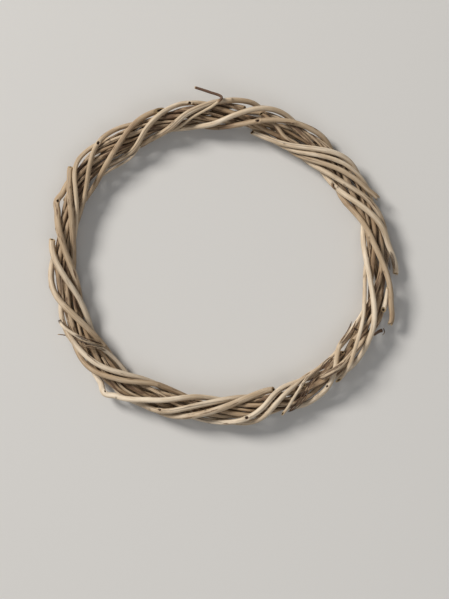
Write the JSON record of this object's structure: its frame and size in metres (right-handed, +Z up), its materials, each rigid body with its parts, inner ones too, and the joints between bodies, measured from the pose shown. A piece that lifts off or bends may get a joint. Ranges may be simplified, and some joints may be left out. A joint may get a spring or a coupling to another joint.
{
  "type": "wreath frame",
  "caption": "Round natural wreath frame of thin willow rods wound round each other into a loose ring that lies flat.",
  "frame": {"origin": "middle of the ring's outline on the surface that it lies on", "axes": "+Z up through the ring's open middle; +Y towards the folded broken shoot, the top of the ring as it hangs; +X to the right, seen from above"},
  "size_m": [0.2577, 0.2487, 0.0241],
  "materials": {
    "pale_rod": "peeled willow, dry and matt, pale straw",
    "weathered_rod": "dry willow, matt, greyed tan with darker streaks along the rod",
    "core_rod": "dry willow, matt, browner because it is shaded inside the bundle",
    "brown_shoot": "thin shoot with its brown bark on, matt",
    "dry_bark": "curled strips of dry bark, dark brown, matt"
  },
  "bodies": {
    "root": {"wrap_rod_01": "weathered_rod", "wrap_rod_02": "pale_rod", "wrap_rod_03": "weathered_rod", "wrap_rod_04": "weathered_rod", "wrap_rod_05": "pale_rod", "wrap_rod_06": "weathered_rod", "wrap_rod_07": "weathered_rod", "wrap_rod_08": "weathered_rod", "wrap_rod_09": "pale_rod", "wrap_rod_10": "pale_rod", "wrap_rod_11": "weathered_rod", "wrap_rod_12": "weathered_rod", "wrap_rod_13": "weathered_rod", "core_rod_1": "core_rod", "core_rod_2": "core_rod", "core_rod_3": "core_rod", "core_rod_4": "core_rod", "thin_rod_1": "core_rod", "thin_rod_2": "core_rod", "thin_rod_3": "core_rod", "thin_rod_4": "core_rod", "thin_rod_5": "core_rod", "hoop_rod": "core_rod", "broken_shoot": "brown_shoot", "loop_shoot": "pale_rod", "pale_stub": "pale_rod", "bark_curl": "dry_bark", "snag_inner": "brown_shoot", "snag_right": "dry_bark", "twiglet_left": "brown_shoot", "twiglet_right": "brown_shoot", "bark_binding": "dry_bark", "bark_ribbon": "brown_shoot", "frayed_bark": "dry_bark", "bark_fibres": "brown_shoot"}
  },
  "joints": []
}
